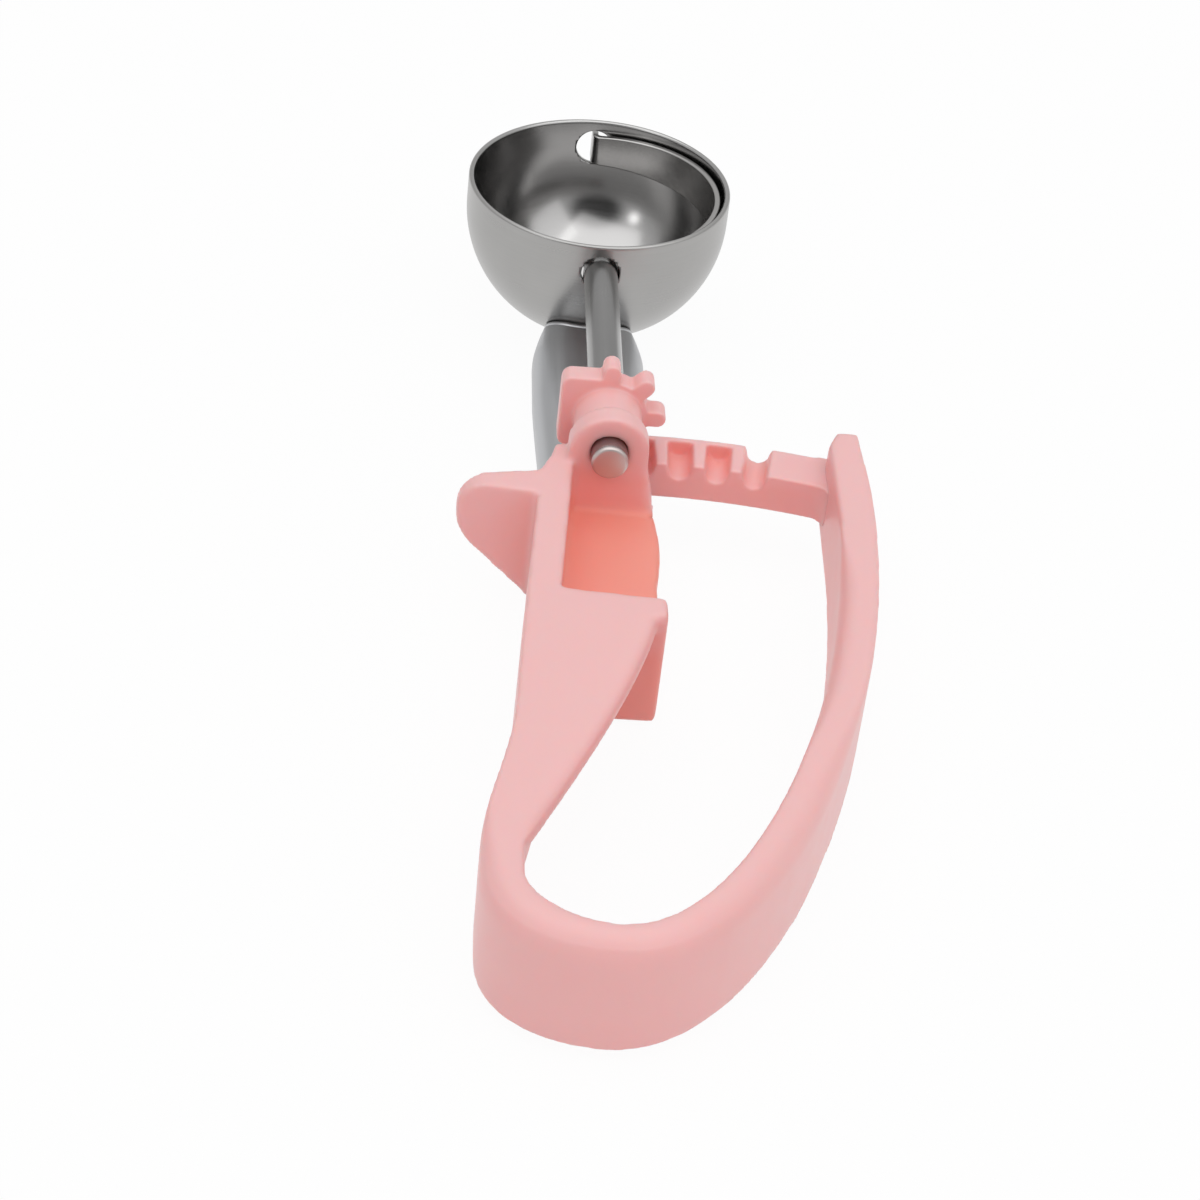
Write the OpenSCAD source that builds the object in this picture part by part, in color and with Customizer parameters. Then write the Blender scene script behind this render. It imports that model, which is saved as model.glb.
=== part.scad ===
// Squeeze-handle ice cream scoop: a round bowl on a formed shank, a sweep blade on
// a drive rod, a toothed pinion, and a moulded grip whose rear bend is the spring.
// Squeezing the lever drives its rack under the pinion, so the blade crosses the bowl.
// The origin is the bowl's centre on the rod's axis. +Y points forward, away from the
// grip, +Z points up, out of the bowl, and +X points to the squeeze lever.

/* [Bowl] */
// Outer diameter of the bowl
bowl_d = 38; // [34:1:44]
// Thickness of the bowl's sheet
bowl_sheet = 0.8; // [0.6:0.1:1.2]
// Height of the straight lip above the rod's axis
lip_h = 4.3; // [4:0.1:6]
// Radial play of the rod in the bowl's near hole
hole_play = 0.34; // [0.2:0.02:0.5]

/* [Drive rod] */
// Diameter of the rod
rod_d = 4.76; // [4:0.02:5.6]
// Length of the rod's tip behind the ear
rod_tip = 2.4; // [1.5:0.1:4]
// Chamfer round the rod's tip
rod_chamfer = 0.5; // [0.2:0.1:0.8]
// Diameter of the spigot that holds the blade
spigot_d = 2.8; // [2:0.1:3.2]
// Thickness of the peened head on the spigot
head_t = 0.7; // [0.4:0.1:1]

/* [Sweep blade] */
// Thickness of the blade
blade_t = 0.9; // [0.6:0.1:1.2]
// Width of the blade at its middle
blade_w = 6.4; // [5:0.1:7]
// Width of the blade at its two ends
blade_end_w = 4.6; // [3.6:0.1:5]
// Gap between the blade and the bowl's wall
blade_gap = 0.5; // [0.4:0.05:0.8]
// Inner radius of the blade's bend into its tongue
tongue_bend = 0.5; // [0.4:0.1:0.8]
// How far the tongue stands out of the bowl
tongue_out = 1; // [0.5:0.1:2]

/* [Shank] */
// Width of the shank at its widest, near the bowl
shank_w = 16.2; // [15:0.2:17]
// Width of the shank inside the grip
shank_rear_w = 13.4; // [12:0.2:13.6]
// Width of the shank under the bowl
shank_front_w = 9; // [8:0.2:13]
// Height of the shank's section
shank_h = 5.6; // [4.5:0.1:6]
// Thickness of the shank's sheet
shank_sheet = 1; // [0.8:0.1:1.2]
// Length of the shank's widest stretch
shank_wide_len = 11; // [6:0.5:16]
// Length of the shank's rounded front corners
shank_corner = 12; // [8:0.5:14]
// Radius of the shank's shoulders
shoulder_r = 2.8; // [2.2:0.1:3.2]
// Sideways shift of the shank towards the thumb rest
shank_shift = 0.6; // [0:0.1:1.2]
// Drop from the rod's axis to the top of the shank, inside the grip
shank_drop = 11.4; // [11.3:0.1:12]
// Rise of the shank's top on its way to the bowl
shank_rise = 0.9; // [0:0.1:1.5]
// How deep the shank sits in the grip's pocket
pocket_depth = 17; // [12:0.5:22]

/* [Pinion and rack] */
// Distance from tooth to tooth along the rack
tooth_pitch = 5.1; // [4.8:0.05:5.3]
// Width of a pinion tooth
tooth_w = 2.3; // [2:0.05:2.5]
// Height of a tooth's tip above the pitch circle
tooth_tip = 1.2; // [1:0.05:1.4]
// Depth of the valleys below the pitch circle
tooth_root = 1.2; // [1:0.05:1.4]
// Thickness of the pinion's toothed plate
gear_w = 3.2; // [2.6:0.1:4]
// Diameter of the pinion's hub
hub_d = 9; // [8.6:0.1:10.4]
// Length of the pinion's hub
hub_len = 5.2; // [4:0.05:6]
// Running gap between the hub and the ear
hub_gap = 0.15; // [0.1:0.05:0.4]
// Height of the rack's bar
rack_h = 5.4; // [5:0.1:5.5]
// Width of the rack's bar
rack_w = 6.7; // [6.2:0.1:7.2]
// Thickness of the wall behind the rack's teeth
rack_back = 1; // [0.9:0.1:1.6]
// Width of the gaps between the rack's teeth, at their mouth
rack_gap_w = 3.6; // [3.4:0.05:3.8]
// Width of the gaps at their round floor
rack_gap_low = 2.9; // [2.7:0.05:3.2]
// Radius of the corner between the rack and the lever
rack_fillet = 2.4; // [1:0.1:3]

/* [Grip] */
// Distance from the bowl's centre to the rear face of the ear
reach = 64; // [58:1:80]
// Distance from the ear's rear face to the back of the bend
grip_len = 90.3; // [85:0.5:105]
// Height of the grip from its top face to its underside
grip_h = 16.7; // [16:0.1:18]
// Height of the bend at its back
bend_h = 15.9; // [14:0.1:16]
// Drop from the rod's axis to the grip's top face
top_drop = 1.5; // [1:0.1:2.5]
// Thickness of the ear
ear_t = 3.2; // [2.6:0.1:4]
// Radius of the ear round the bore
ear_r = 5.2; // [4.6:0.1:5.4]
// Radial clearance of the rod in the ear
ear_play = 0.06; // [0.03:0.01:0.1]
// Drop from the rod's axis to the floor in front of the ear
floor_drop = 9; // [8:0.1:9.6]
// Half width of the grip's body on the lever's side
body_right = 6.6; // [6.3:0.1:7.2]
// Swell of the body's side below the ear
bulge = 1; // [0:0.1:1.5]
// Half width of the grip's body on the thumb's side, at the ear
body_left = 8.4; // [8.2:0.1:9]
// Length of the open recess behind the ear
recess_len = 26.6; // [22:0.2:30]
// Thickness of the wall that closes the recess
recess_wall = 5.4; // [3:0.2:6]
// Thickness of the body's side wall
side_wall = 4.2; // [3.6:0.1:5]
// Thickness of the top web
web_t = 2.4; // [2:0.1:3.4]
// Reach of the thumb rest from the rod's axis
thumb_reach = 19.3; // [17:0.1:22]
// Thickness of the thumb rest at its root
thumb_root = 5.6; // [4:0.1:7]
// Radius of the thumb rest's upper corner
thumb_round = 3.9; // [3:0.1:5]
// Distance from the ear's rear face back to the thumb rest
thumb_set = 1.8; // [1:0.1:4]
// How far the thumb rest leans back towards its tip
thumb_slope = 2.4; // [0:0.1:3]
// Thickness of the thumb rest at its tip
thumb_tip = 2.2; // [1.8:0.1:3]

/* [Bend and lever] */
// Distance from the rod's axis to the outside of the grip's left arm
arm_out = 16.2; // [15:0.1:18]
// Thickness of the left arm at the bend
arm_t = 5.1; // [4:0.1:6]
// Thickness of the bend at its back
bend_t = 4.3; // [3.4:0.1:5]
// Distance from the rod's axis to the outside of the lever
lever_out = 34.3; // [31:0.1:37]
// Thickness of the lever at its front end
lever_t = 4.8; // [4:0.1:5.4]
// How far the lever's front end passes the ear
lever_front = 11.2; // [10.6:0.1:12]
// Height of the lever at its front end
lever_front_h = 11.4; // [10.6:0.1:12]
// Offset of the bend's turning centre towards the lever
hinge_x = 6; // [4:0.5:8]
// Distance from the back of the bend to its turning centre
hinge_back = 10.3; // [8:0.1:12]

/* [Hidden] */

$fn = 96;
hull_facets = 32;
eps = 0.01;

// Bowl
bowl_r = bowl_d / 2;
bowl_in_r = bowl_r - bowl_sheet;
hole_r = rod_d / 2 + hole_play;
weld_gap = 0.03;

// Rod and blade
rod_r = rod_d / 2;
seat_gap = 0.02;
blade_r = bowl_in_r - blade_gap;
head_r = rod_r;
// The head bears on the blade's inner face, which curves towards it at the head's rim
head_y = -sqrt(pow(blade_r - blade_t, 2) - pow(head_r, 2)) + seat_gap;

// Pinion: five of eight evenly spaced teeth
full_teeth = 8;
cut_teeth = 5;
tooth_step = 360 / full_teeth;
pitch_r = full_teeth * tooth_pitch / (2 * PI);
tip_r = pitch_r + tooth_tip;
root_r = pitch_r - tooth_root;
gear_y = ear_t + hub_gap + hub_len;
gear_mid = gear_y + gear_w / 2;
press_fit = 0.01;
// The plain block on the pinion's thumb side
block_left = 6.4;
block_top = 5.7;
block_low = 4.9;
block_r = 1.4;

// Rack: a crown-gear sector about the bend's turning centre
hinge = [hinge_x, -grip_len + hinge_back];
mesh_len = gear_mid - hinge[1];
mesh_r = norm([hinge_x, mesh_len]);
rack_step = tooth_pitch / mesh_len * 180 / PI;
// The gaps stand a little towards the lever, so that a leaving tooth clears them
gap_shift = 0.1 / mesh_len * 180 / PI;
tooth_clear = 0.25;
rack_top = -root_r - tooth_clear;
rack_floor = -tip_r - tooth_clear;
rack_bottom = rack_top - rack_h;
back_clear = 0.55;
rack_out_r = mesh_r + gear_w / 2 + back_clear + rack_back;
rack_in_r = rack_out_r - rack_w;
rack_start = 2.4;
lever_lean = 0.6;

// Grip
top_z = -top_drop;
bottom_z = top_z - grip_h;
bend_z = top_z - bend_h;
floor_z = -floor_drop;
seam_back = 16.3;
bend_cut = -grip_len + seam_back;
curve_n = 24;
pocket_clear = 0.06;
shank_cx = -shank_shift;

// Pulls of the curves, as lengths from the grip's back or from the bend's middle
left_end = 12.6;
left_pull = 5.8;
left_top_pull = 22;
left_side_pull = 9.6;
right_pull = 16;
lever_pull = 38.5;
lever_straight = 2.1;
in_left_end = 7.6;
in_left_pull = 4.3;
in_side_pull = 5.6;
in_right_pull = 14.4;
in_lever_pull = 44;
in_lever_straight = 5;
waist_pull = 9;
waist_lean = 0.8;
corner_cut = 1.7;
corner_back = 1.6;
beyond = 2 * grip_len;

// Points of a cubic curve through a and d, pulled towards b and c
function curve(a, b, c, d, n = curve_n) =
    [for (i = [0 : n]) let (t = i / n, s = 1 - t)
        s * s * s * a + 3 * s * s * t * b + 3 * s * t * t * c + t * t * t * d];
// Points of an arc about c from angle a0 to a1
function arc(c, r, a0, a1, n = 12) =
    [for (i = [0 : n]) let (a = a0 + (a1 - a0) * i / n) c + r * [cos(a), sin(a)]];
function reversed(p) = [for (i = [len(p) - 1 : -1 : 0]) p[i]];

// Grip outline, seen from above, in the grip's own place: the ear's rear face is y = 0
bend_mid = -0.6;
back = -grip_len;
waist = [-12.3, back + 40];
// The grip's outer side runs straight from the ear to the waist
function side_x(y) = -body_left + (waist[0] + body_left) * (y - ear_t) / (waist[1] - ear_t);
outer_left = concat(
    [[side_x(ear_t) + corner_cut, ear_t], [side_x(-corner_back), -corner_back]],
    reversed(curve([-arm_out, bend_cut], [-arm_out, back + left_top_pull],
                   [waist[0] - waist_lean, waist[1] - waist_pull], waist)));
// Where the seam crosses the grip's outer side
seam_out = [-arm_out, bend_cut];
outer_bend = concat(
    curve([-arm_out, back + left_end], [-arm_out, back + left_pull],
          [bend_mid - left_side_pull, back], [bend_mid, back]),
    curve([bend_mid, back], [bend_mid + right_pull, back],
          [lever_out, back + lever_pull], [lever_out, -lever_straight]));
inner_back = back + bend_t;
inner_left_x = -arm_out + arm_t;
inner_right_x = lever_out - lever_t;
inner_bend = concat(
    curve([inner_left_x, inner_back + in_left_end], [inner_left_x, inner_back + in_left_pull],
          [bend_mid - in_side_pull, inner_back], [bend_mid, inner_back]),
    curve([bend_mid, inner_back], [bend_mid + in_right_pull, inner_back],
          [inner_right_x, inner_back + in_lever_pull], [inner_right_x, -in_lever_straight]));
web_corner = 2.2;
web_pull = 13;
diagonal = curve([body_right - web_corner / 3, -recess_len - web_corner],
                 [body_right - web_corner, -recess_len - web_pull],
                 [bend_mid - web_corner, back + 2.6 * web_pull], [inner_left_x, bend_cut]);

module at_grip() {
    translate([0, -reach, 0]) children();
}

// A flat outline in X and Z, given a depth along Y from y0
module upright(y0, depth) {
    translate([0, y0 + depth, 0]) rotate([90, 0, 0]) linear_extrude(depth) children();
}

// A round bar along Y
module bar_y(r, y0, y1) {
    translate([0, y0, 0]) rotate([-90, 0, 0]) cylinder(r = r, h = y1 - y0);
}

// A square with round corners, from corner a to corner b
module round_square(a, b, r) {
    translate([a[0] + r, a[1]]) square([b[0] - a[0] - 2 * r, b[1] - a[1]]);
    translate([a[0], a[1] + r]) square([b[0] - a[0], b[1] - a[1] - 2 * r]);
    for (x = [a[0] + r, b[0] - r], y = [a[1] + r, b[1] - r])
        translate([x, y]) circle(r);
}

// ---- Bowl: a half sphere with a straight lip and two pivot holes
module bowl() color("silver") {
    difference() {
        rotate_extrude() {
            difference() {
                intersection() {
                    circle(bowl_r);
                    translate([0, -bowl_r]) square(bowl_r);
                }
                circle(bowl_in_r);
            }
            translate([bowl_in_r, -eps]) square([bowl_sheet, lip_h + eps]);
        }
        bar_y(hole_r, -bowl_d, bowl_d);
    }
}

// ---- Shank: a formed channel, open below, whose front is cut to the bowl's curve
// One station of the channel's section; grow makes it larger all round
module shank_station(y, w, z_top, grow) {
    r = shoulder_r + grow;
    half = w / 2 + grow;
    for (side = [-1, 1])
        translate([shank_cx + side * (half - r), y, z_top + grow - r])
            rotate([-90, 0, 0]) cylinder(r = r, h = eps, $fn = hull_facets);
    translate([shank_cx - half, y, z_top - shank_h])
        cube([2 * half, eps, shank_h - r]);
}

// The channel's outer form; its inside is the same form with a negative grow
module shank_form(grow, under) {
    wide_y = reach - bowl_r;
    stations = [[ear_t, shank_rear_w, -shank_drop],
                [wide_y - shank_wide_len, shank_w, -shank_drop + shank_rise * 0.6],
                [wide_y, shank_w, -shank_drop + shank_rise * 0.75],
                [wide_y + shank_corner, shank_front_w, -shank_drop + shank_rise]];
    for (i = [0 : 2])
        hull() {
            translate([0, 0, -under])
                shank_station(stations[i][0], stations[i][1], stations[i][2], grow);
            shank_station(stations[i][0], stations[i][1], stations[i][2], grow);
            translate([0, 0, -under])
                shank_station(stations[i + 1][0], stations[i + 1][1], stations[i + 1][2], grow);
            shank_station(stations[i + 1][0], stations[i + 1][1], stations[i + 1][2], grow);
        }
}

// The straight stretch inside the grip's pocket, as a flat section
module shank_section(grow) {
    half = shank_rear_w / 2 + grow;
    r = shoulder_r + grow;
    top = -shank_drop + grow;
    translate([shank_cx - half, top - r]) mirror([0, 1])
        square([2 * half, shank_h - shoulder_r]);
    translate([shank_cx - half + r, top - r]) square([2 * (half - r), r]);
    for (side = [-1, 1])
        translate([shank_cx + side * (half - r), top - r]) circle(r);
}

module channel_section(grow) {
    difference() {
        shank_section(grow);
        translate([0, -eps]) shank_section(-shank_sheet - grow);
        translate([shank_cx - shank_rear_w / 2 + shank_sheet + grow, -shank_drop - shank_h - 2])
            square([shank_rear_w - 2 * (shank_sheet + grow), shank_h - shoulder_r + 2]);
    }
}

module shank() color("lightslategray") at_grip() {
    difference() {
        shank_form(0, 0);
        shank_form(-shank_sheet, 2);
        translate([0, reach, 0]) sphere(bowl_r + weld_gap);
    }
    upright(ear_t - pocket_depth, pocket_depth + eps) channel_section(0);
}

// ---- Drive rod: chamfered tip behind the ear, peened spigot inside the bowl
module drive_rod() color("gray") {
    tip_y = -reach - rod_tip;
    shoulder_y = -blade_r - seat_gap;
    bar_y(rod_r, tip_y + rod_chamfer, shoulder_y);
    translate([0, tip_y, 0]) rotate([-90, 0, 0])
        cylinder(r1 = rod_r - rod_chamfer, r2 = rod_r, h = rod_chamfer);
    bar_y(spigot_d / 2, shoulder_y - eps, head_y + eps);
    bar_y(head_r, head_y, head_y + head_t);
}

// ---- Sweep blade: a strip bent to a half circle, whose far end is a tongue in the hole
// The strip's side view: its width grows evenly from its ends to its middle
module blade_side() {
    polygon([[-blade_end_w / 2, blade_end_w / 2], [0, blade_end_w / 2],
             [blade_r, blade_w / 2], [blade_r, -blade_w / 2],
             [0, -blade_end_w / 2], [-blade_end_w / 2, -blade_end_w / 2]]);
}

// The strip's end, seen from above: a quarter turn outwards, then the straight tongue
module tongue_top() {
    centre = [blade_t / 2 + tongue_bend, blade_r + tongue_bend];
    difference() {
        translate(centre) circle(tongue_bend + blade_t);
        translate(centre) circle(tongue_bend);
        translate([centre[0], 0]) square(bowl_d);
        translate([-bowl_r, centre[1]]) square(bowl_d);
    }
    translate([-blade_t / 2, centre[1] - eps])
        square([blade_t, bowl_r + tongue_out - centre[1] + eps]);
    // A short lap inside the strip joins the two
    translate([centre[0] - eps, blade_r - blade_t + 4 * seat_gap])
        square([tongue_bend, blade_t - 8 * seat_gap]);
}

module sweep_blade() color("gainsboro") {
    strip_end = blade_t / 2 + tongue_bend;
    difference() {
        intersection() {
            difference() {
                cylinder(r = blade_r, h = 2 * blade_w, center = true);
                cylinder(r = blade_r - blade_t, h = 3 * blade_w, center = true);
            }
            upright(-bowl_r, bowl_d) blade_side();
        }
        translate([-bowl_r, 0, -bowl_r]) cube([bowl_r + strip_end, bowl_d, bowl_d]);
        bar_y(spigot_d / 2 + seat_gap, -bowl_r, 0);
    }
    translate([0, 0, -blade_end_w / 2]) linear_extrude(blade_end_w) tongue_top();
}

// ---- Pinion: five finger teeth, a plain block and a hub
module pinion_plate() {
    circle(root_r);
    for (i = [0 : cut_teeth - 1])
        rotate(90 - i * tooth_step) {
            translate([0, -tooth_w / 2]) square([tip_r - tooth_w / 2, tooth_w]);
            translate([tip_r - tooth_w / 2, 0]) circle(tooth_w / 2);
        }
    round_square([-block_left, -block_low], [0, block_top], block_r);
}

module pinion() color("lightpink") at_grip() {
    difference() {
        union() {
            upright(gear_y, gear_w) pinion_plate();
            bar_y(hub_d / 2, ear_t + hub_gap, gear_y + eps);
        }
        bar_y(rod_r - press_fit, 0, gear_y + 2 * gear_w);
    }
}

// ---- Grip frame: body with pocket and ear, thumb rest, web and left arm
module body_outline() {
    polygon(concat(
        [[side_x(ear_t) + corner_cut, ear_t], [body_right, ear_t]],
        curve([body_right, bulge], [body_right + 0.7 * bulge, -4 * bulge],
              [body_right + bulge, -9 * bulge], [body_right, -15 * bulge]),
        [[body_right, -recess_len - recess_wall],
         [side_x(-recess_len - recess_wall), -recess_len - recess_wall],
         [side_x(-corner_back), -corner_back]]));
}

module web_outline() {
    polygon(concat(
        [[side_x(-recess_len), -recess_len],
         [body_right - 0.6 * web_corner, -recess_len - 0.6 * web_corner]],
        diagonal, [seam_out],
        [for (p = reversed(outer_left)) if (p[1] > bend_cut && p[1] < waist[1] + eps) p]));
}

// The side wall runs from the ear down to the bend
module arm_outline() {
    outer = [for (p = outer_left) if (p[1] > bend_cut) p];
    inner = [for (p = outer) if (p[1] < -corner_back + eps) p + [side_wall, 0]];
    polygon(concat(outer, [seam_out, [inner_left_x, bend_cut]], reversed(inner),
                   [[side_x(ear_t) + side_wall, ear_t]]));
}

module thumb_rest() {
    centre = [-thumb_reach + thumb_round, top_z - thumb_round];
    root_x = side_x(-thumb_set) + thumb_tip / 2;
    tip_y = -thumb_set - thumb_slope;
    intersection() {
        upright(-3 * thumb_root, 3 * thumb_root) polygon(concat(
            [[root_x, bottom_z], [root_x, top_z]],
            arc(centre, thumb_round, 90, 228),
            [[root_x - thumb_tip / 2 - corner_back / 2, bottom_z]]));
        translate([0, 0, bottom_z]) linear_extrude(grip_h) polygon([
            [root_x, -thumb_set], [-thumb_reach, tip_y],
            [-thumb_reach, tip_y - thumb_tip], [root_x, -thumb_set - thumb_root]]);
    }
}

module grip_frame() color("pink") at_grip() {
    difference() {
        union() {
            // Lower body under the recess, with the shank's pocket in it
            translate([0, 0, bottom_z]) linear_extrude(floor_z - bottom_z) body_outline();
            // Cross wall that closes the recess
            translate([0, 0, bottom_z]) linear_extrude(grip_h) intersection() {
                body_outline();
                polygon([[waist[0], -recess_len], [grip_h, -recess_len - web_corner],
                         [grip_h, -recess_len - recess_wall],
                         [waist[0], -recess_len - recess_wall]]);
            }
            translate([0, 0, top_z - web_t]) linear_extrude(web_t) web_outline();
            intersection() {
                translate([0, 0, bottom_z]) linear_extrude(grip_h) arm_outline();
                loop_height(bottom_z);
            }
            thumb_rest();
            // Ear
            upright(0, ear_t) {
                circle(ear_r);
                translate([-ear_r, floor_z - web_t]) square([2 * ear_r, web_t - floor_z]);
            }
        }
        bar_y(rod_r + ear_play, -ear_t, 2 * ear_t);
        upright(ear_t - pocket_depth - pocket_clear, 2 * pocket_depth)
            channel_section(pocket_clear);
    }
}

// The loop's side view: full height at the arms, less at the bend, least at the lever's end
module loop_height(front_z) {
    rotate([90, 0, 90]) translate([0, 0, -beyond / 2]) linear_extrude(beyond) polygon([
        [back - web_t, top_z], [back - web_t, bend_z], [bend_cut - web_t, bend_z],
        [waist[1], bottom_z], [waist[1] + waist_pull, bottom_z],
        [lever_front, front_z], [lever_front + web_t, front_z],
        [lever_front + web_t, top_z]]);
}

// ---- Spring bend: the curved back of the grip
module loop_outline() {
    difference() {
        polygon(concat(outer_bend, [[lever_out - lever_lean, lever_front],
                                    [-arm_out, lever_front]]));
        polygon(concat(inner_bend, [[inner_right_x, beyond], [inner_left_x, beyond]]));
    }
}

module spring_bend() color("pink") at_grip() {
    intersection() {
        translate([0, 0, bottom_z]) linear_extrude(grip_h) intersection() {
            loop_outline();
            translate([-beyond, bend_cut - beyond]) square([2 * beyond, beyond]);
        }
        loop_height(bottom_z);
    }
}

// ---- Squeeze lever: the right arm, lower towards its front end
module lever_outline() {
    intersection() {
        loop_outline();
        translate([0, bend_cut]) square([beyond, lever_front - bend_cut]);
    }
}

module squeeze_lever() color("pink") at_grip() {
    intersection() {
        translate([0, 0, bottom_z]) linear_extrude(grip_h) lever_outline();
        loop_height(top_z - lever_front_h);
    }
}

// ---- Rack: a toothed arc about the bend's turning centre
module rack_slot(deep_r) {
    // A slot that narrows to a round floor and points at the turning centre
    w = rack_gap_w;
    r = rack_gap_low / 2;
    rotate([-90, 0, 0]) translate([0, 0, rack_in_r - w])
        linear_extrude(deep_r - rack_in_r + w) {
            polygon([[-w / 2, -rack_top - w], [-w / 2, -rack_top], [-r, -rack_floor - r],
                     [r, -rack_floor - r], [w / 2, -rack_top], [w / 2, -rack_top - w]]);
            translate([0, -rack_floor - r]) circle(r);
        }
}

// The round inner corner between the rack and the lever, seen from above
module rack_corner() {
    lean = asin((inner_right_x - hinge_x) / rack_in_r);
    corner = hinge + rack_in_r * [sin(lean), cos(lean)];
    along_rack = [-cos(lean), sin(lean)];
    half = 45 + lean / 2;
    run = rack_fillet / tan(half);
    centre = corner + rack_fillet / sin(half) * [-cos(45 - lean / 2), -sin(45 - lean / 2)];
    difference() {
        polygon([corner + [web_t, web_t], corner + run * along_rack + [0, web_t],
                 corner + run * along_rack, centre, corner - [0, run],
                 corner + [web_t, -run]]);
        translate(centre) circle(rack_fillet);
    }
}

module rack() color("pink") at_grip() {
    start_a = asin((hinge_x + rack_start) / mesh_r);
    zero_a = asin(hinge_x / mesh_r);
    end_a = -asin((lever_out - hinge_x) / mesh_r);
    difference() {
        union() {
            translate([hinge[0], hinge[1], rack_bottom]) rotate([0, 0, 90 + end_a])
                rotate_extrude(angle = start_a - end_a)
                    translate([rack_in_r, 0]) square([rack_w, rack_h]);
            translate([0, 0, rack_bottom]) linear_extrude(rack_h) rack_corner();
        }
        for (i = [0 : cut_teeth - 1])
            translate([hinge[0], hinge[1], 0]) rotate([0, 0, zero_a - gap_shift - i * rack_step])
                rack_slot(i == cut_teeth - 1 ? rack_out_r + rack_back : rack_out_r - rack_back);
        // The bar ends on the lever's inner face
        translate([0, 0, bottom_z]) linear_extrude(grip_h) polygon(concat(
            [for (p = inner_bend) if (p[1] > waist[1]) p],
            [[inner_right_x, beyond], [beyond, beyond], [beyond, waist[1]]]));
    }
}

bowl();
shank();
drive_rod();
sweep_blade();
pinion();
grip_frame();
spring_bend();
squeeze_lever();
rack();
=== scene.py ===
import math

import bmesh
import bpy
from mathutils import Matrix, Vector, kdtree


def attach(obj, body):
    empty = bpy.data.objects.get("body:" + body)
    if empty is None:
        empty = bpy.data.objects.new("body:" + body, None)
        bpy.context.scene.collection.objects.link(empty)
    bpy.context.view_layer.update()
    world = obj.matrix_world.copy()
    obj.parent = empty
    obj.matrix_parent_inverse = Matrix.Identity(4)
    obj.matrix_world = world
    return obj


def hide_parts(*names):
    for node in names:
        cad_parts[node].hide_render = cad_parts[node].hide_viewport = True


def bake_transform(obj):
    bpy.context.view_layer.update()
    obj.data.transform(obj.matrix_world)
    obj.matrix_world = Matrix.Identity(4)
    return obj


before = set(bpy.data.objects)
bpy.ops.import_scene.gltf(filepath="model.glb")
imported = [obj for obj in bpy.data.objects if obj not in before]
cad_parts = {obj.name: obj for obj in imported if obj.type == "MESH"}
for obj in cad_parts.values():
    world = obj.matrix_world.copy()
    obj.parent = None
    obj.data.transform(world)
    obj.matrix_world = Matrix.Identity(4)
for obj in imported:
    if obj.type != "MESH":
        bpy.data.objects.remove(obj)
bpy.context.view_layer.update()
print("frame loaded:", ", ".join(sorted(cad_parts)))

mm = 0.001
gripShift = -64 * mm  # the ear's rear face, along Y


# Wiring: arithmetic on sockets adds the Math nodes
class Wire:
    def __init__(self, board, socket):
        self.board = board
        self.socket = socket

    def out(self, name):
        return Wire(self.board, self.socket.node.outputs[name])

    def __add__(self, other):
        return self.board.sum("ADD", self, other)

    def __sub__(self, other):
        return self.board.sum("SUBTRACT", self, other)

    def __mul__(self, other):
        return self.board.sum("MULTIPLY", self, other)

    def __truediv__(self, other):
        return self.board.sum("DIVIDE", self, other)

    def __pow__(self, other):
        return self.board.sum("POWER", self, other)

    def __rsub__(self, other):
        return self.board.sum("SUBTRACT", other, self)

    __radd__ = __add__
    __rmul__ = __mul__

    def __abs__(self):
        return self.board.sum("ABSOLUTE", self)

    def atMost(self, other):
        return self.board.sum("MINIMUM", self, other)

    def atLeast(self, other):
        return self.board.sum("MAXIMUM", self, other)

    def share(self):
        return self.atLeast(0.0).atMost(1.0)

    def fade(self, start, end):
        # From 0 at start to 1 at end, in a straight line
        return ((self - start) / (end - start)).share()

    def sine(self):
        return self.board.sum("SINE", self)

    def cosine(self):
        return self.board.sum("COSINE", self)

    def sign(self):
        return self.board.sum("SIGN", self)


class Board:
    def __init__(self, tree):
        self.tree = tree
        tree.nodes.clear()

    def add(self, kind, settings=None, inputs=None, output=0):
        node = self.tree.nodes.new(kind)
        for key, value in (settings or {}).items():
            setattr(node, key, value)
        for key, value in (inputs or {}).items():
            self.join(value, node.inputs[key])
        return Wire(self, node.outputs[output]) if len(node.outputs) else node

    def join(self, value, slot):
        if isinstance(value, Wire):
            self.tree.links.new(value.socket, slot)
        else:
            slot.default_value = value

    def sum(self, operation, *values):
        return self.add("ShaderNodeMath", {"operation": operation}, dict(enumerate(values)))

    def split(self, vector):
        parts = self.add("ShaderNodeSeparateXYZ", None, {0: vector})
        return parts, parts.out("Y"), parts.out("Z")

    def merge(self, x, y, z):
        return self.add("ShaderNodeCombineXYZ", None, {"X": x, "Y": y, "Z": z})

    def blendColours(self, factor, first, second):
        return self.add("ShaderNodeMix", {"data_type": "RGBA"},
                        {0: factor, 6: first, 7: second}, 2)


# Materials

def newMaterial(name):
    material = bpy.data.materials.new(name)
    material.use_nodes = True
    board = Board(material.node_tree)
    return material, board


def finishMaterial(board, sockets):
    shader = board.add("ShaderNodeBsdfPrincipled", None, sockets)
    board.add("ShaderNodeOutputMaterial", None, {"Surface": shader})


def noise(board, vector, scale, detail=2.0, roughness=0.5):
    return board.add("ShaderNodeTexNoise", None, {
        "Vector": vector, "Scale": scale, "Detail": detail, "Roughness": roughness})


def relief(board, height, strength, depth):
    return board.add("ShaderNodeBump", None, {
        "Strength": strength, "Distance": depth, "Height": height})


def objectPlace(board):
    return board.add("ShaderNodeTexCoord", None, None, "Object")


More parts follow.
